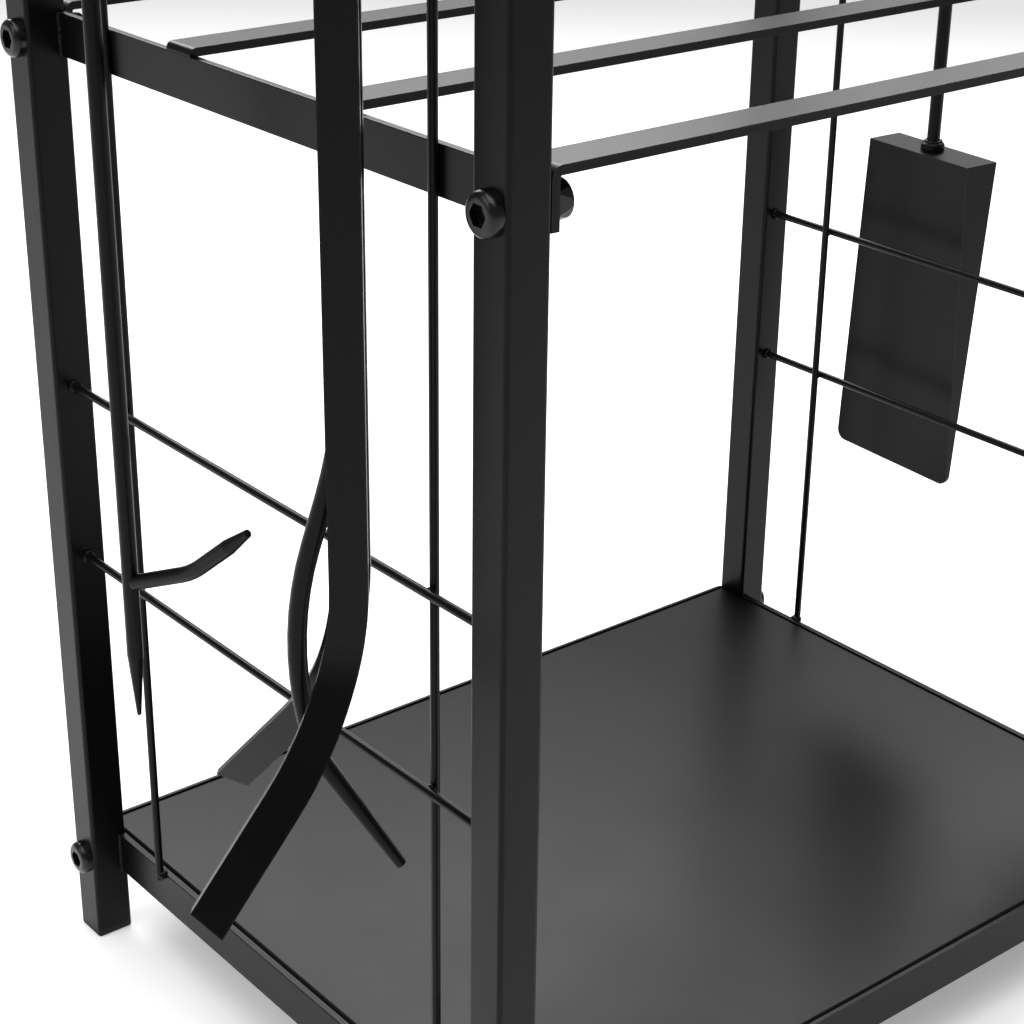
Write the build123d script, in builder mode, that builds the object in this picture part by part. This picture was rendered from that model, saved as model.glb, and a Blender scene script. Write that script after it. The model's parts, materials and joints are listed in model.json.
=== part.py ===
from build123d import *
from math import cos, radians, sin
import os

os.makedirs("parts", exist_ok=True)

# Fireplace tool set: a two-level firewood rack with four hearth tools hung on its sides.
# Millimetres, +Z up, +X to the right, +Y to the back. The floor is at Z = 0.
# X = 0 is midway between the tongs' outer claw and the right hooks' ends. Y = 0 is mid-depth.

# Rack
rack_width = 400.0
rack_depth = 290.0
rack_height = 860.0
rack_centre_x = 14.52
post_size = 16.0
post_wall = 1.2
post_corner = 1.6
plug_lip = 3.0
plug_depth = 14.0
plug_gap = 0.1

# Flat bars, rails and slats
bar_thick = 3.0
rail_height = 16.0
base_rail_height = 18.0
base_top = 47.5
shelf_rail_top = 397.0
top_rail_top = 850.0
slat_width = 15.0
slat_count = 4
slat_bend = 2.1
slat_end_round = 2.4
slat_overhang = 0.4
tab_drop = 19.0

# Base tray
base_bar_thick = 1.5
base_bar_bend = 1.25
plate_thick = 1.2
plate_side_gap = 0.4
plate_end_gap = 0.3
plate_bend = 2.0
plate_flange = 12.0
plate_rim = 2.4
plate_flange_setback = 14.0

# Wires of the side grids
wire_size = 3.2
upright_insets = (48.5, 238.0)
cross_wire_heights = (181.0, 253.5, 579.0, 652.0)
upright_foot = 45.0
upright_head = 836.5

# M8 button-head bolts and hex nuts
bolt_heights = (38.0, 388.0, 841.0)
bolt_size = 8.0
bolt_hole = 8.4
bolt_head_size = 14.0
bolt_head_height = 4.2
bolt_socket = 6.5
bolt_socket_depth = 2.6
nut_flats = 12.0
nut_height = 6.5
bolt_tail = 1.0

# Hooks and hanging rings
hook_rod = 5.0
hook_root_z = 842.0
hook_valley_z = 830.0
hook_stub = 6.0
hook_flat = 5.0
hook_rise_angle = 30.0
hook_rise_length = 36.0
tool_offset = 20.0
ring_radius = 11.0
ring_wire = 3.0
ring_clearance = 0.3
front_hook_y = {"left": -95.5, "right": -79.0}
rear_hook_y = {"left": 43.0, "right": 59.0}

# Tools
rod_size = 6.0
grip_size = 13.0
grip_bottom = 694.0
grip_top = 803.0
eye_width = 11.0
eye_thick = 3.0
eye_hole = 5.0
tool_turn = -39.3

poker_tip_z = 157.0
poker_taper_z = 182.0
poker_tip_size = 1.6
prong_root_z = 212.0
prong_turn = -75.0
prong_run = 25.0
prong_rise_angle = 23.0
prong_bend_radius = 40.0
prong_bend = 17.0
prong_end_run = 18.0
prong_taper = 12.0
prong_size = 5.8
prong_tip_size = 3.0

shovel_turn = -4.0
pan_bottom_z = 141.0
pan_top_z = 296.0
pan_top_width = 63.0
pan_mouth_width = 76.0
pan_depth = 19.0
pan_lip_depth = 1.5
pan_sheet = 1.2
pan_corner = 5.0
collar_size = 11.0
collar_height = 4.0

brush_tip_z = 158.0
bristle_top_z = 226.0
brush_head_top_z = 250.0
brush_head_length = 84.0
brush_head_width = 22.0
bristle_spread = 9.0

strip_width = 12.0
strip_thick = 3.0
strip_offset = 5.0
claw_tip = (-42.4, 169.8)
claw_bend_z = 230.8
rear_claw_tip = (-44.8, 169.8)
rear_claw_bend_z = 234.5
claw_radius = 112.0
splay_slope = 0.567
splay_bend_z = 236.0
splay_radius = 45.0
pivot_z = 688.0
pivot_size = 5.0
pivot_hole = 5.1
pivot_head = 9.5
pivot_head_height = 2.0
bow_reach = 22.0
bow_low = (704.0, 726.0)
bow_high = (774.0, 796.0)
bow_radius = 16.0
joggle_z = (742.0, 768.0)
link_place = (-10.0, 714.0)
link_size = 4.0
link_spacer_size = 7.0
lever_rod = 6.2
lever_boss = 13.0
lever_reach = 14.0
lever_top_z = 796.0
lever_knee = (702.0, 730.0)
lever_arc_start_z = 345.0
lever_bends = ((190.0, -16.0, 16.0), (130.0, 30.0, 0.0), (35.0, 19.0, 0.0))
lever_taper_length = 42.0
lever_tip_size = 4.0

half_depth = rack_depth / 2
left_face = rack_centre_x - rack_width / 2
right_face = rack_centre_x + rack_width / 2
post_centre = post_size / 2
slat_underside = shelf_rail_top
slat_pitch = (rack_depth - post_size) / (slat_count - 1)
upright_x = post_size - bar_thick - wire_size / 2
cross_x = upright_x - wire_size
ring_centre_z = hook_valley_z + hook_rod / 2 + ring_clearance - (ring_radius - ring_wire / 2)
hinge_z = ring_centre_z - ring_radius
sides = {"left": 1, "right": -1}

pieces = []


def keep(solid, name):
    """Label a finished piece and write it to its own file."""
    solid.label = name
    export_step(solid, "parts/" + name + ".step")
    pieces.append(name)


def side_x(side, inset):
    """X of a place that lies inset from a side's outer face towards the rack's middle."""
    if side == "left":
        return left_face + inset
    return right_face - inset


def tool_frame(side, y, turn):
    """Frame of a hanging tool: its X axis lies in the tool's flat, its Y axis is the swing axis."""
    x_dir = (cos(radians(turn)), sin(radians(turn)), 0)
    return Plane(origin=(side_x(side, -tool_offset), y, 0), x_dir=x_dir, z_dir=(0, 0, 1))


def upright_plane(frame):
    """Sketch plane of a tool: local x along the tool's flat, local y up, facing the swing axis."""
    return Plane(origin=frame.origin, x_dir=frame.x_dir, z_dir=-frame.y_dir)


# ---------------------------------------------------------------- posts, feet and caps

post_places = {
    "front_left": (left_face + post_centre, -half_depth + post_centre),
    "back_left": (left_face + post_centre, half_depth - post_centre),
    "front_right": (right_face - post_centre, -half_depth + post_centre),
    "back_right": (right_face - post_centre, half_depth - post_centre),
}

for corner, (x, y) in post_places.items():
    with BuildPart() as post:
        with BuildSketch(Plane((x, y, plug_lip))):
            RectangleRounded(post_size, post_size, post_corner)
            inner = post_size - 2 * post_wall
            RectangleRounded(inner, inner, post_corner - post_wall, mode=Mode.SUBTRACT)
        extrude(amount=rack_height - 2 * plug_lip)
        with BuildSketch(Plane(origin=(x, y, 0), x_dir=(0, 1, 0), z_dir=(1, 0, 0))):
            with Locations([(0, z) for z in bolt_heights]):
                Circle(bolt_hole / 2)
        extrude(amount=post_size, both=True, mode=Mode.SUBTRACT)
    keep(post.part, "post_" + corner)


def plug(x, y, z_lip, z_insert):
    """Moulded plug of a post's end: a rounded lip and a hollow insert."""
    insert = post_size - 2 * post_wall - 2 * plug_gap
    with BuildPart() as piece:
        with BuildSketch(Plane((x, y, min(z_lip, z_lip + plug_lip)))):
            RectangleRounded(post_size, post_size, post_corner)
        extrude(amount=plug_lip)
        outer_z = Plane.XY.offset(z_lip if z_insert > z_lip else z_lip + plug_lip)
        rim = piece.edges().filter_by_position(Axis.Z, outer_z.origin.Z - 0.01, outer_z.origin.Z + 0.01)
        fillet(rim, 1.0)
        with BuildSketch(Plane((x, y, z_insert))):
            RectangleRounded(insert, insert, 0.3)
            RectangleRounded(insert - 3, insert - 3, 0.5, mode=Mode.SUBTRACT)
        extrude(amount=plug_depth - plug_lip)
    return piece.part


feet = [plug(x, y, 0, plug_lip) for x, y in post_places.values()]
cap_lip_z = rack_height - plug_lip
caps = [plug(x, y, cap_lip_z, cap_lip_z - plug_depth + plug_lip) for x, y in post_places.values()]
keep(Compound(children=feet), "post_feet")
keep(Compound(children=caps), "post_caps")

# ---------------------------------------------------------------- side rails and wires

rail_rows = {
    "bottom": (base_top - base_rail_height, base_rail_height),
    "mid": (shelf_rail_top - rail_height, rail_height),
    "top": (top_rail_top - rail_height, rail_height),
}
rail_length = rack_depth - 2 * post_size

for side in sides:
    for row, (z_low, height) in rail_rows.items():
        with BuildPart() as rail:
            with BuildSketch(Plane((side_x(side, post_size - bar_thick / 2), 0, z_low))):
                Rectangle(bar_thick, rail_length)
            extrude(amount=height)
            fillet(rail.edges().filter_by(Axis.Y), 0.4)
        keep(rail.part, side + "_" + row + "_rail")

    for number, y in enumerate([inset - half_depth for inset in upright_insets], start=1):
        with BuildPart() as upright:
            with BuildSketch(Plane((side_x(side, upright_x), y, upright_foot))):
                Circle(wire_size / 2)
            extrude(amount=upright_head - upright_foot)
        keep(upright.part, side + "_upright_wire_" + str(number))

    for number, z in enumerate(cross_wire_heights, start=1):
        with BuildPart() as cross:
            with BuildSketch(Plane(origin=(side_x(side, cross_x), 0, z), z_dir=(0, 1, 0))):
                Circle(wire_size / 2)
            extrude(amount=rail_length / 2, both=True)
        keep(cross.part, side + "_cross_wire_" + str(number))

# ---------------------------------------------------------------- slats and tie bars

half_inner = rack_width / 2 - post_size
half_resting = half_inner + bar_thick + slat_overhang


def bent_bar(y, top, half_span, drop, bend):
    """Flat bar across the rack with both ends bent down; half_span is to the tabs' outer faces."""
    centre_z = top - bar_thick / 2
    centre_x = half_span - bar_thick / 2
    corners = [(-centre_x, top - drop), (-centre_x, centre_z), (centre_x, centre_z), (centre_x, top - drop)]
    with BuildPart() as bar:
        with BuildSketch(Plane(origin=(rack_centre_x, y, 0), x_dir=(1, 0, 0), z_dir=(0, -1, 0))):
            with BuildLine():
                FilletPolyline(*corners, radius=bend)
            trace(line_width=bar_thick)
        extrude(amount=slat_width / 2, both=True)
    return bar.part


def drilled(bar, y, z):
    """Cut the bolt holes through both end tabs of a bar."""
    with BuildPart() as piece:
        add(bar)
        with BuildSketch(Plane(origin=(rack_centre_x, y, z), x_dir=(0, 1, 0), z_dir=(1, 0, 0))):
            Circle(bolt_hole / 2)
        extrude(amount=rack_width / 2, both=True, mode=Mode.SUBTRACT)
    return piece.part


slat_names = ("shelf_front_slat", "shelf_middle_slat_1", "shelf_middle_slat_2", "shelf_back_slat")
for index, name in enumerate(slat_names):
    y = -half_depth + post_centre + index * slat_pitch
    top = slat_underside + bar_thick
    if "middle" in name:
        with BuildPart() as slat:
            with BuildSketch(Plane((rack_centre_x, y, slat_underside))):
                Rectangle(2 * half_resting, slat_width)
            extrude(amount=bar_thick)
            ends = slat.edges().filter_by(Axis.Y).group_by(Axis.Z)[-1]
            fillet(ends, slat_end_round)
        keep(slat.part, name)
    else:
        keep(drilled(bent_bar(y, top, half_inner, tab_drop, slat_bend), y, bolt_heights[1]), name)

for name, sign in (("top_front_bar", -1), ("top_back_bar", 1)):
    y = sign * (half_depth - post_centre)
    top_bar = bent_bar(y, top_rail_top + bar_thick, half_inner, tab_drop, slat_bend)
    keep(drilled(top_bar, y, bolt_heights[2]), name)

# ---------------------------------------------------------------- base tray

base_bar_low = base_top - base_rail_height

for name, sign in (("base_front_bar", -1), ("base_back_bar", 1)):
    near = half_depth - base_bar_thick / 2
    far = half_depth - post_size
    reach = half_inner - base_bar_thick / 2
    corners = [(-reach, sign * far), (-reach, sign * near), (reach, sign * near), (reach, sign * far)]
    with BuildPart() as bar:
        with BuildSketch(Plane((rack_centre_x, 0, base_bar_low))):
            with BuildLine():
                FilletPolyline(*corners, radius=base_bar_bend)
            trace(line_width=base_bar_thick)
        extrude(amount=base_rail_height)
        with BuildSketch(Plane((rack_centre_x, 0, base_top - plate_rim - plate_end_gap))):
            Rectangle(rack_width, 2 * (half_depth - base_bar_thick - 0.1))
        extrude(amount=plate_rim + 1, mode=Mode.SUBTRACT)
    keep(drilled(bar.part, sign * (half_depth - post_centre), bolt_heights[0]), name)

plate_x = 2 * (half_inner - plate_side_gap)
plate_y = 2 * (half_depth - base_bar_thick - plate_end_gap)
flange_x = plate_x - 2 * plate_flange_setback
flange_y = plate_y - 2 * (post_size + 2)

with BuildPart() as base_plate:
    with BuildSketch(Plane((rack_centre_x, 0, base_top - plate_rim))):
        Rectangle(plate_x, plate_y)
    extrude(amount=plate_rim)
    fillet(base_plate.faces().sort_by(Axis.Z)[-1].edges(), plate_bend)
    with BuildSketch(Plane((rack_centre_x, 0, base_top - plate_rim))):
        Rectangle(plate_x - 2 * plate_thick, plate_y - 2 * plate_thick)
    extrude(amount=plate_rim - plate_thick, mode=Mode.SUBTRACT)
    for sign in (-1, 1):
        with BuildSketch(Plane((rack_centre_x, sign * (plate_y - plate_thick) / 2, base_top - plate_flange))):
            Rectangle(flange_x, plate_thick)
        extrude(amount=plate_flange - plate_rim)
        flange_centre_x = rack_centre_x + sign * (plate_x - plate_thick) / 2
        with BuildSketch(Plane((flange_centre_x, 0, base_top - plate_flange))):
            Rectangle(plate_thick, flange_y)
        extrude(amount=plate_flange - plate_rim)
keep(base_plate.part, "base_plate")

# ---------------------------------------------------------------- bolts and nuts

tab_gauge = {bolt_heights[0]: base_bar_thick, bolt_heights[1]: bar_thick, bolt_heights[2]: bar_thick}


def bolt(side, y, z):
    """Button-head bolt through a post and a tab, its head on the post's outer face."""
    inward = sides[side]
    length = post_size + tab_gauge[z] + nut_height + bolt_tail
    face = Plane(origin=(side_x(side, 0), y, z), x_dir=(0, 1, 0), z_dir=(inward, 0, 0))
    with BuildPart() as piece:
        with BuildSketch(face):
            Circle(bolt_size / 2)
        extrude(amount=length)
        with BuildSketch(face):
            Circle(bolt_head_size / 2)
        extrude(amount=-bolt_head_height)
        crown = piece.edges().filter_by(GeomType.CIRCLE).sort_by(Axis.X)
        fillet(crown[0] if inward > 0 else crown[-1], 2.4)
        with BuildSketch(face.offset(-bolt_head_height)):
            RegularPolygon(bolt_socket / 2, 6, major_radius=False)
        extrude(amount=bolt_socket_depth, mode=Mode.SUBTRACT)
    return piece.part


def nut(side, y, z):
    """Hex nut against the inner side of a tab."""
    inward = sides[side]
    seat = side_x(side, post_size + tab_gauge[z])
    face = Plane(origin=(seat, y, z), x_dir=(0, 1, 0), z_dir=(inward, 0, 0))
    with BuildPart() as piece:
        with BuildSketch(face):
            RegularPolygon(nut_flats / 2, 6, major_radius=False, rotation=30)
            Circle(bolt_size / 2 + 0.05, mode=Mode.SUBTRACT)
        extrude(amount=nut_height)
        with BuildSketch(face):
            Circle(nut_flats / 2 + 0.9)
        extrude(amount=nut_height, taper=8, mode=Mode.INTERSECT)
    return piece.part


fastener_places = []
for side in sides:
    for y in (-half_depth + post_centre, half_depth - post_centre):
        for z in bolt_heights:
            fastener_places.append((side, y, z))
keep(Compound(children=[bolt(*place) for place in fastener_places]), "frame_bolts")
keep(Compound(children=[nut(*place) for place in fastener_places]), "frame_nuts")

# ---------------------------------------------------------------- hooks and hanging rings

hook_places = {
    "left_front": ("left", front_hook_y["left"]),
    "left_rear": ("left", rear_hook_y["left"]),
    "right_front": ("right", front_hook_y["right"]),
    "right_rear": ("right", rear_hook_y["right"]),
}

for place, (side, y) in hook_places.items():
    outward = -sides[side]
    root = bar_thick - post_size
    rise_x = tool_offset + hook_flat / 2 + hook_rise_length * cos(radians(hook_rise_angle))
    rise_z = hook_valley_z + hook_rise_length * sin(radians(hook_rise_angle))
    route = [
        (root, hook_root_z),
        (root + hook_stub, hook_root_z),
        (tool_offset - hook_flat, hook_valley_z),
        (tool_offset + hook_flat / 2, hook_valley_z),
        (rise_x, rise_z),
    ]
    face_x = side_x(side, 0)
    with BuildPart() as hook:
        with BuildLine() as path:
            FilletPolyline(*[(face_x + outward * x, y, z) for x, z in route], radius=2.5)
        with BuildSketch(Plane(origin=path.line @ 0, z_dir=path.line % 0)):
            Circle(hook_rod / 2)
        sweep()
        tip = hook.edges().filter_by(GeomType.CIRCLE).sort_by(Axis.Z)[-1]
        fillet(tip, 1.5)
    keep(hook.part, "tool_hook_" + place)


def hanging_ring(frame, name):
    """Torus in the plane of the swing axis and the vertical."""
    centre = frame.from_local_coords(Vector(0, 0, ring_centre_z))
    with BuildPart() as piece:
        with BuildSketch(Plane(origin=centre, x_dir=frame.y_dir, z_dir=(0, 0, 1))):
            with Locations((ring_radius, 0)):
                Circle(ring_wire / 2)
        revolve(axis=Axis(centre, frame.x_dir))
    keep(piece.part, name)


# ---------------------------------------------------------------- shafts and grips


def shaft(frame, z_low, name):
    """Round steel shaft of a tool, up into its grip."""
    with BuildPart() as piece:
        with BuildSketch(frame.offset(z_low)):
            Circle(rod_size / 2)
        extrude(amount=grip_bottom + plug_depth - z_low)
    keep(piece.part, name)


def grip(frame, name):
    """Turned tubular grip with a flat eye on its top, bored for the shaft."""
    with BuildPart() as piece:
        with BuildSketch(frame.offset(grip_bottom)):
            Circle(grip_size / 2)
        extrude(amount=grip_top - grip_bottom)
        ends = piece.edges().filter_by(GeomType.CIRCLE)
        fillet(ends, 2.5)
        with BuildSketch(frame.offset(grip_bottom)):
            Circle(rod_size / 2 + 0.02)
        extrude(amount=plug_depth, mode=Mode.SUBTRACT)
        with BuildSketch(upright_plane(frame)):
            with Locations((0, (grip_top + hinge_z) / 2 - 1)):
                Rectangle(eye_width, hinge_z - grip_top + 2)
            with Locations((0, hinge_z)):
                Circle(eye_width / 2)
                Circle(eye_hole / 2, mode=Mode.SUBTRACT)
        extrude(amount=eye_thick / 2, both=True)
    keep(piece.part, name)


# ---------------------------------------------------------------- poker

poker_frame = tool_frame("left", rear_hook_y["left"], tool_turn)
hanging_ring(poker_frame, "poker_ring")
grip(poker_frame, "poker_grip")

with BuildPart() as poker_shaft:
    with BuildSketch(poker_frame.offset(poker_taper_z)):
        Circle(rod_size / 2)
    extrude(amount=grip_bottom + plug_depth - poker_taper_z)
    with BuildSketch(poker_frame.offset(poker_taper_z)):
        Circle(rod_size / 2)
    with BuildSketch(poker_frame.offset(poker_tip_z)):
        Circle(poker_tip_size / 2)
    loft()
keep(poker_shaft.part, "poker_shaft")

prong_frame = tool_frame("left", rear_hook_y["left"], prong_turn)
prong_plane = upright_plane(prong_frame)
with BuildLine(Plane.XY) as prong_route:
    heading = Vector(cos(radians(prong_rise_angle)), sin(radians(prong_rise_angle)))
    root = Vector(rod_size / 2 - 0.6, prong_root_z)
    run = Line(root, root + heading * prong_run)
    bend = JernArc(run @ 1, run % 1, prong_bend_radius, prong_bend)
    Line(bend @ 1, bend @ 1 + (bend % 1) * prong_end_run)
prong_path = prong_route.line.moved(prong_plane.location)
prong_end = prong_path @ 1
prong_heading = prong_path % 1
with BuildPart() as poker_prong:
    with BuildSketch(Plane(origin=prong_path @ 0, z_dir=prong_path % 0)):
        Circle(prong_size / 2)
    sweep(path=prong_path)
    with BuildSketch(Plane(origin=prong_end, z_dir=prong_heading)):
        Circle(prong_size / 2)
    with BuildSketch(Plane(origin=prong_end + prong_heading * prong_taper, z_dir=prong_heading)):
        Circle(prong_tip_size / 2)
    loft()
    with BuildSketch(poker_frame.offset(prong_root_z - 2 * rod_size)):
        Circle(rod_size / 2 + 0.01)
    extrude(amount=4 * rod_size, mode=Mode.SUBTRACT)
keep(poker_prong.part, "poker_prong")

# ---------------------------------------------------------------- shovel

shovel_frame = tool_frame("right", rear_hook_y["right"], shovel_turn)
hanging_ring(shovel_frame, "shovel_ring")
grip(shovel_frame, "shovel_grip")
shaft(shovel_frame, pan_top_z, "shovel_shaft")

# The pan's floor faces the rack. Its walls rise outwards and run out to a low lip at the mouth.
pan_floor = Plane(
    origin=shovel_frame.from_local_coords(Vector(-pan_depth / 2, 0, 0)),
    x_dir=-shovel_frame.y_dir,
    z_dir=-shovel_frame.x_dir,
)
pan_side = Plane(origin=pan_floor.origin, x_dir=shovel_frame.x_dir, z_dir=-shovel_frame.y_dir)


def pan_outline(inset, bottom):
    """Face of the pan seen square on, narrower by inset at both sides and at the top."""
    top_half = pan_top_width / 2 - inset
    mouth_half = pan_mouth_width / 2 - inset
    with BuildSketch(Plane.XY) as face:
        with BuildLine():
            Polyline(
                (-top_half, pan_top_z - inset),
                (top_half, pan_top_z - inset),
                (mouth_half, bottom),
                (-mouth_half, bottom),
                close=True,
            )
        make_face()
        low_corners = face.vertices().group_by(Axis.Y)[0]
        fillet(low_corners, pan_corner - inset)
    return face.sketch


outer_face = pan_outline(0, pan_bottom_z)
inner_face = pan_outline(pan_sheet, pan_bottom_z - 4 * pan_corner)

with BuildPart() as shovel_pan:
    with BuildSketch(pan_floor):
        add(outer_face)
    extrude(amount=-pan_depth)
    with BuildSketch(pan_floor.offset(-pan_sheet)):
        add(inner_face)
    extrude(amount=-pan_depth, mode=Mode.SUBTRACT)
    with BuildSketch(pan_side):
        with BuildLine():
            Polyline(
                (0, pan_top_z),
                (pan_depth, pan_top_z),
                (pan_lip_depth, pan_bottom_z),
                (0, pan_bottom_z),
                close=True,
            )
        make_face()
    extrude(amount=pan_mouth_width, both=True, mode=Mode.INTERSECT)
keep(shovel_pan.part, "shovel_pan")

with BuildPart() as shovel_collar:
    with BuildSketch(shovel_frame.offset(pan_top_z)):
        Circle(collar_size / 2)
        Circle(rod_size / 2 + 0.02, mode=Mode.SUBTRACT)
    extrude(amount=collar_height)
    crown = shovel_collar.edges().filter_by(GeomType.CIRCLE).group_by(Axis.Z)[-1].sort_by(SortBy.RADIUS)[-1]
    fillet(crown, 1.8)
keep(shovel_collar.part, "shovel_collar")

# ---------------------------------------------------------------- brush

brush_frame = tool_frame("right", front_hook_y["right"], 0)
hanging_ring(brush_frame, "brush_ring")
grip(brush_frame, "brush_grip")
shaft(brush_frame, brush_head_top_z - 12, "brush_shaft")

with BuildPart() as brush_head:
    with BuildSketch(brush_frame.offset(bristle_top_z)):
        RectangleRounded(brush_head_width, brush_head_length, 6)
    extrude(amount=brush_head_top_z - bristle_top_z)
    fillet(brush_head.faces().sort_by(Axis.Z)[-1].edges(), 3)
    with BuildSketch(brush_frame.offset(brush_head_top_z - 12)):
        Circle(rod_size / 2 + 0.02)
    extrude(amount=12, mode=Mode.SUBTRACT)
keep(brush_head.part, "brush_head")

with BuildPart() as brush_bristles:
    with BuildSketch(brush_frame.offset(bristle_top_z)):
        RectangleRounded(brush_head_width - 4, brush_head_length - 6, 4)
    with BuildSketch(brush_frame.offset(brush_tip_z)):
        RectangleRounded(brush_head_width - 4 + bristle_spread, brush_head_length - 6 + bristle_spread, 6)
    loft()
keep(brush_bristles.part, "brush_bristles")

# ---------------------------------------------------------------- tongs

tongs_frame = tool_frame("left", front_hook_y["left"], tool_turn)
tongs_face = upright_plane(tongs_frame)
tongs_side = Plane(origin=tongs_frame.origin, x_dir=tongs_frame.y_dir, z_dir=tongs_frame.x_dir)
hanging_ring(tongs_frame, "tongs_ring")


def claw_strip(tip, bend_z, top_route, end_hole, side_route):
    """Flat strip: its outline seen from the front, cut by its splayed and joggled side view."""
    radii = [claw_radius] + [bow_radius] * (len(top_route) - 1)
    with BuildPart() as piece:
        with BuildSketch(tongs_face):
            with BuildLine():
                FilletPolyline(tip, (0, bend_z), *top_route, radius=radii)
            trace(line_width=strip_width)
            with Locations(top_route[-1]):
                Circle(strip_width / 2)
                Circle(end_hole / 2, mode=Mode.SUBTRACT)
            with Locations((0, pivot_z)):
                Circle(pivot_hole / 2, mode=Mode.SUBTRACT)
            if end_hole != link_hole:
                with Locations(link_place):
                    Circle(link_hole / 2, mode=Mode.SUBTRACT)
        extrude(amount=rack_width / 4, both=True)
        with BuildSketch(tongs_side):
            with BuildLine():
                FilletPolyline(*side_route, radius=splay_radius)
            trace(line_width=strip_thick)
        extrude(amount=rack_width / 4, both=True, mode=Mode.INTERSECT)
    return piece.part


def cross_pin(frame, u, z, steps):
    """Turned pin along the swing axis; each step is its start, end and diameter along that axis."""
    with BuildPart() as piece:
        for start, end, size in steps:
            with BuildSketch(upright_plane(frame).offset(-end)):
                with Locations((u, z)):
                    Circle(size / 2)
            extrude(amount=end - start)
        along = piece.edges().filter_by(GeomType.CIRCLE).sort_by(Axis(frame.origin, frame.y_dir))
        fillet([along[0], along[-1]], 1.2)
    return piece.part


link_hole = link_size + 0.1
splay_low_z = claw_tip[1] - strip_width
splay_reach = strip_offset + splay_slope * (splay_bend_z - splay_low_z)
strip_outer = strip_offset + strip_thick / 2
strip_inner = strip_offset - strip_thick / 2

front_route = [
    (0, bow_low[0]),
    (-bow_reach, bow_low[1]),
    (-bow_reach, bow_high[0]),
    (0, bow_high[1]),
    (0, hinge_z),
]
front_side = [
    (-splay_reach, splay_low_z),
    (-strip_offset, splay_bend_z),
    (-strip_offset, joggle_z[0]),
    (0, joggle_z[1]),
    (0, rack_height),
]
keep(claw_strip(claw_tip, claw_bend_z, front_route, eye_hole, front_side), "tongs_front_arm")

rear_route = [(0, bow_low[0]), link_place]
rear_side = [(splay_reach, splay_low_z), (strip_offset, splay_bend_z), (strip_offset, rack_height)]
rear_claw = claw_strip(rear_claw_tip, rear_claw_bend_z, rear_route, link_hole, rear_side)
keep(rear_claw, "tongs_rear_claw")

with BuildLine(Plane.XY) as lever_route:
    handle = FilletPolyline(
        (lever_reach, lever_top_z),
        (lever_reach, lever_knee[1]),
        (0, lever_knee[0]),
        (0, lever_arc_start_z),
        radius=bow_radius,
    )
    last = handle
    for radius, turn, straight in lever_bends:
        last = JernArc(last @ 1, last % 1, radius, turn)
        if straight:
            last = Line(last @ 1, last @ 1 + (last % 1) * straight)
lever_path = lever_route.line.moved(tongs_face.location)
lever_end = lever_path @ 1
lever_heading = lever_path % 1

with BuildPart() as tongs_lever:
    with BuildSketch(Plane(origin=lever_path @ 0, z_dir=lever_path % 0)):
        Circle(lever_rod / 2)
    sweep(path=lever_path)
    fillet(tongs_lever.edges().filter_by(GeomType.CIRCLE).sort_by(Axis.Z)[-1], 2)
    with BuildSketch(Plane(origin=lever_end, z_dir=lever_heading)):
        Circle(lever_rod / 2)
    with BuildSketch(Plane(origin=lever_end + lever_heading * lever_taper_length, z_dir=lever_heading)):
        Circle(lever_tip_size / 2)
    loft()
    with BuildSketch(tongs_face):
        with Locations((0, pivot_z)):
            Circle(lever_boss / 2)
    extrude(amount=lever_rod / 2, both=True)
    with BuildSketch(tongs_face):
        with Locations((0, pivot_z)):
            Circle(pivot_hole / 2)
    extrude(amount=lever_rod, both=True, mode=Mode.SUBTRACT)
keep(tongs_lever.part, "tongs_round_arm")

head_end = strip_outer + pivot_head_height
rivet_steps = [
    (-head_end, -strip_outer, pivot_head),
    (-strip_outer, strip_outer, pivot_size),
    (strip_outer, head_end, pivot_head),
]
keep(cross_pin(tongs_frame, 0, pivot_z, rivet_steps), "tongs_pivot_rivet")
spacer_steps = [
    (-head_end, -strip_outer, link_spacer_size),
    (-strip_outer, strip_outer, link_size),
    (-strip_inner, strip_inner, link_spacer_size),
    (strip_outer, head_end, link_spacer_size),
]
keep(cross_pin(tongs_frame, *link_place, spacer_steps), "tongs_spacer_rivet")

print(len(pieces), "pieces")
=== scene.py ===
import bpy
import bmesh
import json
import math
import random
from mathutils import Matrix, Vector


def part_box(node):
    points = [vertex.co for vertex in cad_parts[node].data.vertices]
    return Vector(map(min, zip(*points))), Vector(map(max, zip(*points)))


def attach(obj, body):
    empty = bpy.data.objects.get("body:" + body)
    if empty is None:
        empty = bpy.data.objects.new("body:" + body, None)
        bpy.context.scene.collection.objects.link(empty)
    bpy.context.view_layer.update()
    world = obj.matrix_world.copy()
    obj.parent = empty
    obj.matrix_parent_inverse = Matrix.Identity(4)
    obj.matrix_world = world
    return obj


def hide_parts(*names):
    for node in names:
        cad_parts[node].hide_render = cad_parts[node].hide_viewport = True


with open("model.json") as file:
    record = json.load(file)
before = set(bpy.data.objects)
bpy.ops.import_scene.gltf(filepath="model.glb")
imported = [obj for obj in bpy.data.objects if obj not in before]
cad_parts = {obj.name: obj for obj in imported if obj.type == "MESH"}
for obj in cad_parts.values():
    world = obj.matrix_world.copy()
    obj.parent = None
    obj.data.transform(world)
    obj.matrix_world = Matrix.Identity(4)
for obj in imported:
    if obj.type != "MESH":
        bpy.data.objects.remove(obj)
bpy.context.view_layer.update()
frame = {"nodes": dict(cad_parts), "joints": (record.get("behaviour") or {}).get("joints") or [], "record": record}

nodes = frame["nodes"]
fullTurn = 2 * math.pi
anyPhase = 6.28  # just under a full turn, for random starts


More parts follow.
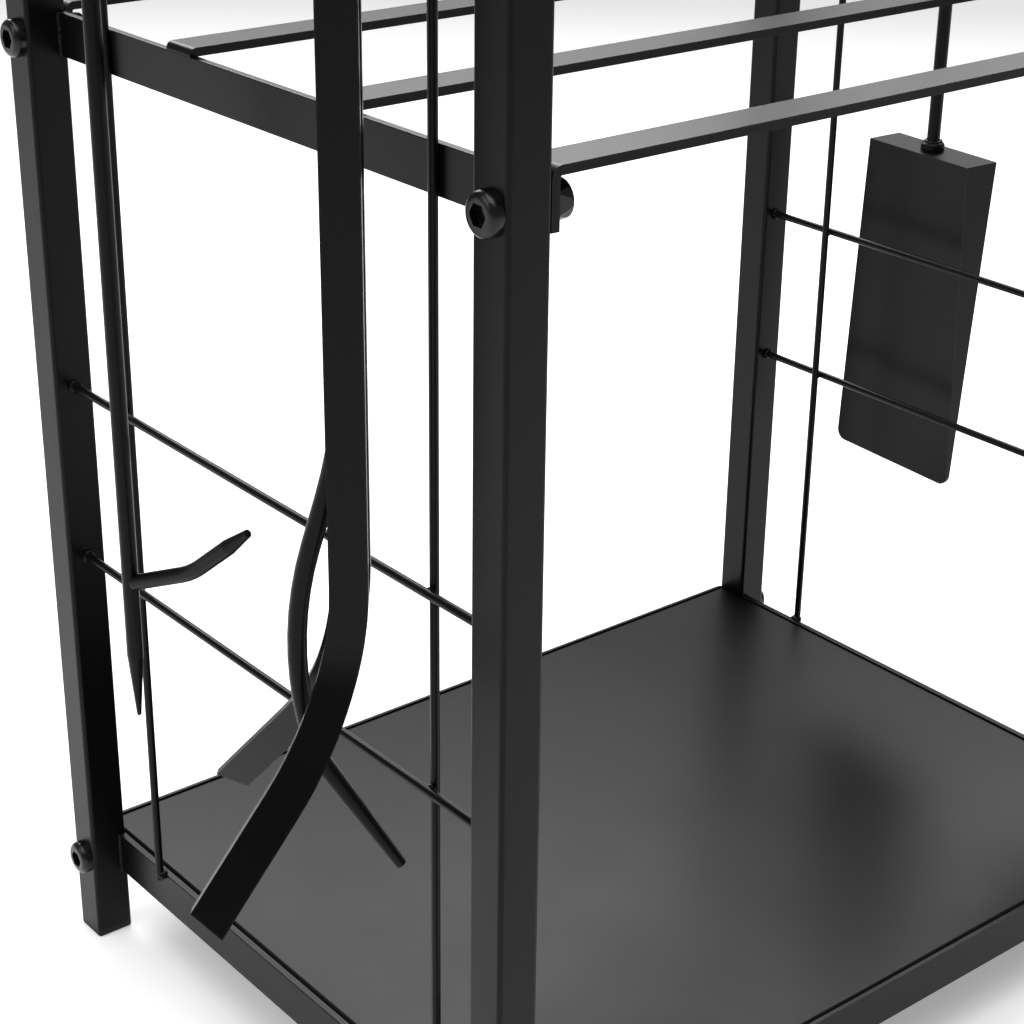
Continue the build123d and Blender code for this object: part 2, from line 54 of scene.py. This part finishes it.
# Small helpers for shader nodes.
def newGroup(name, inputs, outputs):
    group = bpy.data.node_groups.new(name, "ShaderNodeTree")
    for label, kind, value in inputs:
        socket = group.interface.new_socket(name=label, in_out="INPUT", socket_type=kind)
        if value is not None:
            socket.default_value = value
    for label, kind in outputs:
        group.interface.new_socket(name=label, in_out="OUTPUT", socket_type=kind)
    tree = group.nodes
    return group, tree, group.links, tree.new("NodeGroupInput"), tree.new("NodeGroupOutput")


def mathNode(tree, links, operation, a, b):
    node = tree.new("ShaderNodeMath")
    node.operation = operation
    for index, value in enumerate((a, b)):
        if isinstance(value, (int, float)):
            node.inputs[index].default_value = value
        else:
            links.new(value, node.inputs[index])
    return node.outputs[0]


def rangeNode(tree, links, value, fromLow, fromHigh, toLow, toHigh):
    node = tree.new("ShaderNodeMapRange")
    links.new(value, node.inputs["Value"])
    node.inputs["From Min"].default_value = fromLow
    node.inputs["From Max"].default_value = fromHigh
    node.inputs["To Min"].default_value = toLow
    node.inputs["To Max"].default_value = toHigh
    return node.outputs["Result"]


def noiseNode(tree, links, position, detail):
    node = tree.new("ShaderNodeTexNoise")
    node.inputs["Detail"].default_value = detail
    links.new(position, node.inputs["Vector"])
    return node


coat = {
    "peelSize": 900.0, "peelDetail": 2.0, "peelRoughness": 0.45,
    "grit": 0.35, "gritSize": 640.0, "gritNear": 0.05, "gritFar": 0.28,
    "cloudSize": 14.0, "cloudDetail": 4.0, "cloudLow": 0.3, "cloudHigh": 0.7,
}


# Powder coat: a fine orange peel with sparse grit. Position in, height and a slow tone variation out.
def coatTextureGroup():
    group, tree, links, entry, out = newGroup(
        "CoatTexture",
        [
            ("Position", "NodeSocketVector", None),
            ("Peel Size", "NodeSocketFloat", coat["peelSize"]),
            ("Grit", "NodeSocketFloat", coat["grit"]),
        ],
        [("Height", "NodeSocketFloat"), ("Tone", "NodeSocketFloat")],
    )
    position = entry.outputs["Position"]
    peel = noiseNode(tree, links, position, coat["peelDetail"])
    peel.inputs["Roughness"].default_value = coat["peelRoughness"]
    links.new(entry.outputs["Peel Size"], peel.inputs["Scale"])
    grit = tree.new("ShaderNodeTexVoronoi")
    grit.inputs["Scale"].default_value = coat["gritSize"]
    links.new(position, grit.inputs["Vector"])
    speck = rangeNode(tree, links, grit.outputs["Distance"], coat["gritNear"], coat["gritFar"], 1.0, 0.0)
    gritHeight = mathNode(tree, links, "MULTIPLY", speck, entry.outputs["Grit"])
    links.new(mathNode(tree, links, "ADD", peel.outputs["Fac"], gritHeight), out.inputs["Height"])
    cloud = noiseNode(tree, links, position, coat["cloudDetail"])
    cloud.inputs["Scale"].default_value = coat["cloudSize"]
    tone = rangeNode(tree, links, cloud.outputs["Fac"], coat["cloudLow"], coat["cloudHigh"], 0.0, 1.0)
    links.new(tone, out.inputs["Tone"])
    return group


# Shape of the painted edge highlight mask: bevel width, how round a place must be to count as an edge, and the
# noise that breaks it up.
sheenShape = {
    "width": 0.0012, "samples": 4, "flat": 0.995, "round": 0.86,
    "noiseSize": 260.0, "noiseDetail": 5.0, "noiseLow": 0.42, "noiseHigh": 0.6, "least": 0.25,
}


# Painted edge highlight: a lighter colour laid along corners and edges, broken up by noise, standing in for the
# highlights that the rounded edges catch.
def paintedEdgeSheenGroup():
    group, tree, links, entry, out = newGroup(
        "PaintedEdgeSheen",
        [("Position", "NodeSocketVector", None), ("Width", "NodeSocketFloat", sheenShape["width"])],
        [("Mask", "NodeSocketFloat")],
    )
    bevel = tree.new("ShaderNodeBevel")
    bevel.samples = sheenShape["samples"]
    links.new(entry.outputs["Width"], bevel.inputs["Radius"])
    shape = tree.new("ShaderNodeNewGeometry")
    spread = tree.new("ShaderNodeVectorMath")
    spread.operation = "DOT_PRODUCT"
    links.new(bevel.outputs["Normal"], spread.inputs[0])
    links.new(shape.outputs["Normal"], spread.inputs[1])
    rounded = rangeNode(tree, links, spread.outputs["Value"], sheenShape["flat"], sheenShape["round"], 0.0, 1.0)
    noise = noiseNode(tree, links, entry.outputs["Position"], sheenShape["noiseDetail"])
    noise.inputs["Scale"].default_value = sheenShape["noiseSize"]
    broken = rangeNode(
        tree, links, noise.outputs["Fac"], sheenShape["noiseLow"], sheenShape["noiseHigh"], sheenShape["least"], 1.0
    )
    links.new(mathNode(tree, links, "MULTIPLY", rounded, broken), out.inputs["Mask"])
    return group


dusting = {
    "amount": 0.3, "slopeLow": 0.55, "slopeHigh": 0.95,
    "noiseSize": 2300.0, "noiseDetail": 3.0, "noiseLow": 0.6, "noiseHigh": 0.78,
}


# Fine dust that settles on faces that look up.
def dustGroup():
    group, tree, links, entry, out = newGroup(
        "SettledDust",
        [("Position", "NodeSocketVector", None), ("Amount", "NodeSocketFloat", dusting["amount"])],
        [("Mask", "NodeSocketFloat")],
    )
    shape = tree.new("ShaderNodeNewGeometry")
    split = tree.new("ShaderNodeSeparateXYZ")
    links.new(shape.outputs["Normal"], split.inputs[0])
    up = rangeNode(tree, links, split.outputs["Z"], dusting["slopeLow"], dusting["slopeHigh"], 0.0, 1.0)
    noise = noiseNode(tree, links, entry.outputs["Position"], dusting["noiseDetail"])
    noise.inputs["Scale"].default_value = dusting["noiseSize"]
    fleck = rangeNode(tree, links, noise.outputs["Fac"], dusting["noiseLow"], dusting["noiseHigh"], 0.0, 1.0)
    settled = mathNode(tree, links, "MULTIPLY", up, fleck)
    links.new(mathNode(tree, links, "MULTIPLY", settled, entry.outputs["Amount"]), out.inputs["Mask"])
    return group


coatTexture = coatTextureGroup()
paintedEdgeSheen = paintedEdgeSheenGroup()
settledDust = dustGroup()
print("shader groups")


# A group placed in a material, reading object coordinates, with its own values.
def addGroup(tree, links, place, group, **values):
    node = tree.new("ShaderNodeGroup")
    node.node_tree = group
    for label, value in values.items():
        node.inputs[label.replace("_", " ")].default_value = value
    links.new(place.outputs["Object"], node.inputs["Position"])
    return node


def mixColour(tree, links, factor, a, b):
    node = tree.new("ShaderNodeMix")
    node.data_type = "RGBA"
    links.new(factor, node.inputs[0])
    for socket, value in ((node.inputs[6], a), (node.inputs[7], b)):
        if isinstance(value, tuple):
            socket.default_value = (*value, 1.0)
        else:
            links.new(value, socket)
    return node.outputs[2]


# Settled dust colour and how much rougher the dust is, and how much smoother the coat is made under the painted
# edge highlight.
dustAndSheen = {"dustColour": (0.16, 0.155, 0.15), "sheenSmoother": 0.12, "dustRougher": 0.3}


def coatMaterial(name, look):
    material = bpy.data.materials.new(name)
    material.use_nodes = True
    tree = material.node_tree.nodes
    links = material.node_tree.links
    shader = tree["Principled BSDF"]
    place = tree.new("ShaderNodeTexCoord")
    texture = addGroup(tree, links, place, coatTexture, Peel_Size=look["peel"], Grit=look["grit"])
    sheen = addGroup(tree, links, place, paintedEdgeSheen, Width=look["sheenWidth"])
    dust = addGroup(tree, links, place, settledDust, Amount=look["dust"])
    tone = texture.outputs["Tone"]
    base = mixColour(tree, links, tone, look["dark"], look["light"])
    # Painted highlight: corners and edges are mixed towards the lighter edge colour, and are made a little
    # smoother there.
    sheenAmount = mathNode(tree, links, "MULTIPLY", sheen.outputs["Mask"], look["sheen"])
    withSheen = mixColour(tree, links, sheenAmount, base, look["sheenColour"])
    dusty = mixColour(tree, links, dust.outputs["Mask"], withSheen, dustAndSheen["dustColour"])
    links.new(dusty, shader.inputs["Base Color"])
    rough = rangeNode(tree, links, tone, 0.0, 1.0, look["roughLow"], look["roughHigh"])
    sheenSmoother = mathNode(tree, links, "MULTIPLY", sheenAmount, dustAndSheen["sheenSmoother"])
    dustRougher = mathNode(tree, links, "MULTIPLY", dust.outputs["Mask"], dustAndSheen["dustRougher"])
    rough = mathNode(tree, links, "SUBTRACT", rough, sheenSmoother)
    links.new(mathNode(tree, links, "ADD", rough, dustRougher), shader.inputs["Roughness"])
    shader.inputs["Metallic"].default_value = look["metallic"]
    shader.inputs["Specular IOR Level"].default_value = look["specular"]
    bump = tree.new("ShaderNodeBump")
    bump.inputs["Strength"].default_value = look["bump"]
    bump.inputs["Distance"].default_value = look["bumpDepth"]
    links.new(texture.outputs["Height"], bump.inputs["Height"])
    links.new(bump.outputs["Normal"], shader.inputs["Normal"])
    return material


# In each look the lighter edge colour, its amount and its width paint a highlight along corners and edges.
frameLook = {
    "dark": (0.0016, 0.0016, 0.0018), "light": (0.0030, 0.0030, 0.0034), "sheenColour": (0.016, 0.016, 0.0175),
    "roughLow": 0.30, "roughHigh": 0.38, "peel": 1100.0, "grit": 0.35, "sheenWidth": 0.0011, "sheen": 0.8,
    "dust": 0.02, "metallic": 0.0, "specular": 0.13, "bump": 0.22, "bumpDepth": 0.00012,
}
trayLook = dict(
    frameLook, dark=(0.0014, 0.0014, 0.0018), light=(0.0024, 0.0024, 0.0031),
    roughLow=0.31, roughHigh=0.37, bump=0.16,
)
wireLook = dict(frameLook, roughLow=0.28, roughHigh=0.36, peel=1500.0, sheen=0.2)
toolLook = dict(
    frameLook, dark=(0.0010, 0.0010, 0.0011), light=(0.0022, 0.0022, 0.0024),
    roughHigh=0.40, sheen=1.0, bump=0.32,
)
boltLook = dict(
    frameLook, light=(0.004, 0.004, 0.0043), sheenColour=(0.035, 0.035, 0.035), roughLow=0.24, roughHigh=0.32,
    metallic=0.1, sheenWidth=0.0006, sheen=0.9, dust=0.0, specular=0.35,
)
plugLook = dict(
    frameLook, dark=(0.003, 0.003, 0.003), light=(0.006, 0.006, 0.006), roughLow=0.5, roughHigh=0.6,
    peel=2200.0, sheen=0.1, specular=0.25,
)
looks = {
    "frame_black": frameLook, "tray_black": trayLook, "wire_black": wireLook, "tool_black": toolLook,
    "fastener_black": boltLook, "plug_black": plugLook, "brush_block": toolLook, "bristle_black": plugLook,
}
finishes = {name: coatMaterial("finish_" + name, look) for name, look in looks.items()}

slotOf = {row["node"]: row["material_slot"] for row in frame["record"]["subparts"]}
for name, piece in nodes.items():
    piece.data.materials.clear()
    piece.data.materials.append(finishes[slotOf[name]])
print("finishes on", len(nodes), "CAD nodes")


# A finished bmesh becomes a piece that rides a body.
def addPiece(name, mesh, materialName, body, smooth=True):
    data = bpy.data.meshes.new(name)
    mesh.to_mesh(data)
    mesh.free()
    for face in data.polygons:
        face.use_smooth = smooth
    piece = bpy.data.objects.new(name, data)
    bpy.context.scene.collection.objects.link(piece)
    data.materials.append(finishes[materialName])
    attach(piece, body)
    return piece


def halfway(low, high, axis):
    return (low[axis] + high[axis]) / 2


weldBead = {"subdivisions": 3, "lump": 0.10, "lumpX": 3.1, "lumpZ": 2.7, "ripple": 0.06, "rippleY": 5.3}


# One weld bead: a squashed ball with an uneven surface.
def blob(mesh, centre, size, seed):
    made = bmesh.ops.create_icosphere(mesh, subdivisions=weldBead["subdivisions"], radius=1.0)
    own = random.Random(seed)
    phase = [own.uniform(0, anyPhase) for _ in range(3)]
    for vert in made["verts"]:
        p = vert.co.copy()
        across = math.sin(weldBead["lumpX"] * p.x + phase[0]) * math.cos(weldBead["lumpZ"] * p.z + phase[1])
        along = math.sin(weldBead["rippleY"] * p.y + phase[2])
        swell = 1 + weldBead["lump"] * across + weldBead["ripple"] * along
        vert.co = Vector(centre) + Vector((p.x * size[0], p.y * size[1], p.z * size[2])) * swell


# Weld beads of a side grid: at both ends of every wire and at every crossing.
gridWeld = {
    "uprights": 2, "crossWires": 4, "inset": 0.0008,
    "foot": (0.0023, 0.0031, 0.0021), "footSink": 0.0004,
    "head": (0.0023, 0.0030, 0.0021), "headSink": 0.0002,
    "crossing": (0.0014, 0.0019, 0.0019),
    "end": (0.0027, 0.0017, 0.0026), "endSink": 0.0002,
}


def gridWelds(side, outward):
    welds = bmesh.new()
    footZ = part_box(side + "_bottom_rail")[1][2] - gridWeld["footSink"]
    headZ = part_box(side + "_top_rail")[0][2] + gridWeld["headSink"]
    uprights = [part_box(side + "_upright_wire_" + str(n + 1)) for n in range(gridWeld["uprights"])]
    crossWires = [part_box(side + "_cross_wire_" + str(n + 1)) for n in range(gridWeld["crossWires"])]
    seed = 1
    for low, high in uprights:
        x = halfway(low, high, 0)
        y = halfway(low, high, 1)
        innerX = x - outward * gridWeld["inset"]
        blob(welds, (innerX, y, footZ), gridWeld["foot"], seed)
        blob(welds, (innerX, y, headZ), gridWeld["head"], seed + 1)
        seed += 2
        for crossLow, crossHigh in crossWires:
            betweenX = (x + halfway(crossLow, crossHigh, 0)) / 2
            blob(welds, (betweenX, y, halfway(crossLow, crossHigh, 2)), gridWeld["crossing"], seed)
            seed += 1
    for low, high in crossWires:
        for y, inward in ((low[1], 1), (high[1], -1)):
            place = (halfway(low, high, 0), y + inward * gridWeld["endSink"], halfway(low, high, 2))
            blob(welds, place, gridWeld["end"], seed)
            seed += 1
    addPiece(side + "_grid_welds", welds, "wire_black", "rack")


gridWelds("left", -1)
gridWelds("right", 1)
print("grid welds")

# Fillet welds where the rails meet the posts: a run of overlapping small beads.
railSeam = {"radius": 0.0011, "pitch": 0.7, "fewest": 3, "endGap": 0.001, "firstSeed": 300}


def weldSeam(mesh, start, end, seed):
    a = Vector(start)
    b = Vector(end)
    radius = railSeam["radius"]
    count = max(railSeam["fewest"], int((b - a).length / (radius * railSeam["pitch"])))
    for index in range(count + 1):
        blob(mesh, a.lerp(b, index / count), (radius, radius, radius), seed + index)


for side in ("left", "right"):
    seams = bmesh.new()
    for row in ("bottom", "mid", "top"):
        low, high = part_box(side + "_" + row + "_rail")
        outerX = low[0] if side == "left" else high[0]
        for y in (low[1], high[1]):
            start = (outerX, y, low[2] + railSeam["endGap"])
            end = (outerX, y, high[2] - railSeam["endGap"])
            weldSeam(seams, start, end, int(y * 1000) + railSeam["firstSeed"])
    addPiece(side + "_rail_seams", seams, "frame_black", "rack")
print("rail seams")

# Weld rings on the tools: round each shaft at the foot of its grip, and on top of the shovel's collar.
ringShape = {"steps": 40, "sides": 10, "waves": 9, "wave": 0.16, "grain": 0.07}
neckRing = {"radius": 0.0033, "bead": 0.0011, "seed": 5}
shoulderRing = {"radius": 0.0034, "bead": 0.0010, "seed": 11}


# A lumpy ring round an upright rod: a circle spun round the rod from its left side, then swollen unevenly.
def weldRing(name, centre, ring, body):
    own = random.Random(ring["seed"])
    phase = own.uniform(0, anyPhase)
    stepAngle = fullTurn / ringShape["steps"]
    swells = []
    for step in range(ringShape["steps"]):
        wave = ringShape["wave"] * math.sin(ringShape["waves"] * step * stepAngle + phase)
        swells.append(1 + wave + ringShape["grain"] * own.uniform(-1, 1))
    mesh = bmesh.new()
    onEdge = Matrix.Rotation(math.pi / 2, 4, "X") @ Matrix.Rotation(math.pi / 2, 4, "Z")
    place = Matrix.Translation((-ring["radius"], 0, 0)) @ onEdge
    bmesh.ops.create_circle(mesh, segments=ringShape["sides"], radius=ring["bead"], matrix=place)
    bmesh.ops.spin(
        mesh, geom=mesh.verts[:] + mesh.edges[:], cent=(0, 0, 0), axis=(0, 0, 1), dvec=(0, 0, 0),
        angle=fullTurn, steps=ringShape["steps"], use_merge=True,
    )
    bmesh.ops.recalc_face_normals(mesh, faces=mesh.faces[:])
    for vert in mesh.verts:
        angle = math.atan2(-vert.co.y, -vert.co.x)
        swell = swells[round(angle / stepAngle) % ringShape["steps"]]
        rim = Vector((-ring["radius"] * math.cos(angle), -ring["radius"] * math.sin(angle), 0))
        vert.co = Vector(centre) + rim + (vert.co - rim) * swell
    addPiece(name, mesh, "tool_black", body)


swingPlace = {joint["child"]: joint["pos_m"] for joint in frame["joints"] if joint["name"].endswith("_swing")}
for tool in ("poker", "shovel", "brush"):
    x, y, _ = swingPlace[tool]
    weldRing(tool + "_neck_weld", (x, y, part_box(tool + "_grip")[0][2]), neckRing, tool)
x, y, _ = swingPlace["shovel"]
weldRing("shovel_shoulder_weld", (x, y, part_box("shovel_collar")[1][2]), shoulderRing, "shovel")
print("tool welds")

# Bristles: separate fibres in tufts under the brush head.
bristle = {
    "tuftsAcross": 4, "tuftsAlong": 15, "fibres": 46, "seed": 21,
    "radius": 0.00022, "taper": 0.35, "steps": 4, "corners": (0.5, 2.6, 4.7),
    "rootInsetX": 0.004, "rootInsetY": 0.005, "rootDepth": 0.0006, "tuftRadius": 0.0018,
    "tipInset": 0.0006, "fanAcross": 1.12, "fanAlong": 1.03,
    "scatterAcross": 0.17, "scatterAlong": 0.045, "uneven": 0.0016, "bow": 0.0007,
}


# One fibre: a thin three-sided taper, bowed a little between its root and its tip.
def addFibre(mesh, root, tip, bow):
    rings = []
    for step in range(bristle["steps"] + 1):
        t = step / bristle["steps"]
        p = root.lerp(tip, t) + bow * math.sin(math.pi * t)
        size = bristle["radius"] * (1 - bristle["taper"] * t)
        corners = [Vector((size * math.cos(a), size * math.sin(a), 0)) for a in bristle["corners"]]
        rings.append([mesh.verts.new(p + corner) for corner in corners])
    sides = len(bristle["corners"])
    for a, b in zip(rings, rings[1:]):
        for k in range(sides):
            after = (k + 1) % sides
            mesh.faces.new((a[k], b[k], b[after], a[after]))
    mesh.faces.new(rings[-1])


def within(value):
    return max(-1, min(1, value))


blockLow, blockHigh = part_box("brush_head")
fibreLow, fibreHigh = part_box("brush_bristles")
fibres = bmesh.new()
own = random.Random(bristle["seed"])
centre = (Vector(fibreLow) + Vector(fibreHigh)) / 2
rootHalfX = (blockHigh[0] - blockLow[0]) / 2 - bristle["rootInsetX"]
rootHalfY = (blockHigh[1] - blockLow[1]) / 2 - bristle["rootInsetY"]
tipHalfX = (fibreHigh[0] - fibreLow[0]) / 2 - bristle["tipInset"]
tipHalfY = (fibreHigh[1] - fibreLow[1]) / 2 - bristle["tipInset"]
rootZ = blockLow[2] + bristle["rootDepth"]
for i in range(bristle["tuftsAcross"]):
    for j in range(bristle["tuftsAlong"]):
        u = -1 + 2 * (i + 0.5) / bristle["tuftsAcross"]
        v = -1 + 2 * (j + 0.5) / bristle["tuftsAlong"]
        for _ in range(bristle["fibres"]):
            angle = own.uniform(0, anyPhase)
            spread = own.uniform(0, bristle["tuftRadius"])
            rootX = centre.x + u * rootHalfX + spread * math.cos(angle)
            rootY = centre.y + v * rootHalfY + spread * math.sin(angle)
            tipU = within(u * bristle["fanAcross"] + own.gauss(0, bristle["scatterAcross"]))
            tipV = within(v * bristle["fanAlong"] + own.gauss(0, bristle["scatterAlong"]))
            tipZ = fibreLow[2] + abs(own.gauss(0, bristle["uneven"]))
            tip = Vector((centre.x + tipU * tipHalfX, centre.y + tipV * tipHalfY, tipZ))
            bow = Vector((own.gauss(0, bristle["bow"]), own.gauss(0, bristle["bow"]), 0))
            addFibre(fibres, Vector((rootX, rootY, rootZ)), tip, bow)
brushPiece = addPiece("brush_fibres", fibres, "bristle_black", "brush", smooth=False)
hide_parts("brush_bristles")
print("bristles")

# Floor and world: plain and pale.
studio = {
    "floorSize": 14, "floorColour": (0.86, 0.86, 0.86, 1), "floorRoughness": 0.85, "floorGlow": 0.30,
    "worldGlow": 0.26, "white": (1, 1, 1, 1),
}
bpy.ops.mesh.primitive_plane_add(size=studio["floorSize"], location=(0, 0, 0))
floor = bpy.context.object
floor.name = "floor"
floorPaint = bpy.data.materials.new("floorPaint")
floorPaint.use_nodes = True
floorShader = floorPaint.node_tree.nodes["Principled BSDF"]
floorShader.inputs["Base Color"].default_value = studio["floorColour"]
floorShader.inputs["Roughness"].default_value = studio["floorRoughness"]
floorShader.inputs["Emission Color"].default_value = studio["white"]
floorShader.inputs["Emission Strength"].default_value = studio["floorGlow"]
floor.data.materials.append(floorPaint)

world = bpy.data.worlds.new("studio")
bpy.context.scene.world = world
world.use_nodes = True
background = world.node_tree.nodes["Background"]
background.inputs["Color"].default_value = studio["white"]
background.inputs["Strength"].default_value = studio["worldGlow"]

lamps = {
    "overheadLight": {"place": (-0.5, -0.4, 3.0), "aim": (0, 0.1, 0), "size": (2.6, 2.6), "power": 75},
    "sideLight": {"place": (-2.2, 0.5, 1.5), "aim": (0, 0, 0.4), "size": (1.2, 1.6), "power": 14},
    "backLight": {"place": (0.80, 0.96, 1.22), "aim": (0, 0, 0.45), "size": (2.2, 0.60), "power": 38},
}


def areaLight(name, lamp):
    data = bpy.data.lights.new(name, "AREA")
    data.shape = "RECTANGLE"
    data.size, data.size_y = lamp["size"]
    data.energy = lamp["power"]
    light = bpy.data.objects.new(name, data)
    bpy.context.scene.collection.objects.link(light)
    light.location = lamp["place"]
    light.rotation_euler = (Vector(lamp["aim"]) - Vector(lamp["place"])).to_track_quat("-Z", "Y").to_euler()
    light.visible_camera = False


for name, lamp in lamps.items():
    areaLight(name, lamp)
print("floor and lights")

# Camera: angles in degrees, and its place measured from the low corner of the front left post.
view = {
    "azimuth": 39.343, "down": 24.472, "roll": 0.7126, "lens": 76.6, "film": 36, "nearest": 0.02,
    "fromPostX": -0.3589, "fromPostY": -0.4412, "height": 0.5602,
}
azimuth = math.radians(view["azimuth"])
down = math.radians(view["down"])
roll = math.radians(view["roll"])
level = math.cos(down)
forward = Vector((math.sin(azimuth) * level, math.cos(azimuth) * level, -math.sin(down)))
right = Vector((math.cos(azimuth), -math.sin(azimuth), 0))
up = right.cross(forward)
tiltedRight = right * math.cos(roll) + up * math.sin(roll)
tiltedUp = up * math.cos(roll) - right * math.sin(roll)
postLow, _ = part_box("post_front_left")
eye = Vector((postLow[0] + view["fromPostX"], postLow[1] + view["fromPostY"], view["height"]))
cameraData = bpy.data.cameras.new("camera")
cameraData.lens = view["lens"]
cameraData.sensor_width = view["film"]
cameraData.clip_start = view["nearest"]
camera = bpy.data.objects.new("camera", cameraData)
bpy.context.scene.collection.objects.link(camera)
turn = Matrix((tiltedRight, tiltedUp, -forward)).transposed().to_4x4()
camera.matrix_world = Matrix.Translation(eye) @ turn
bpy.context.scene.camera = camera
bpy.context.scene.view_settings.view_transform = "Standard"
print("camera")
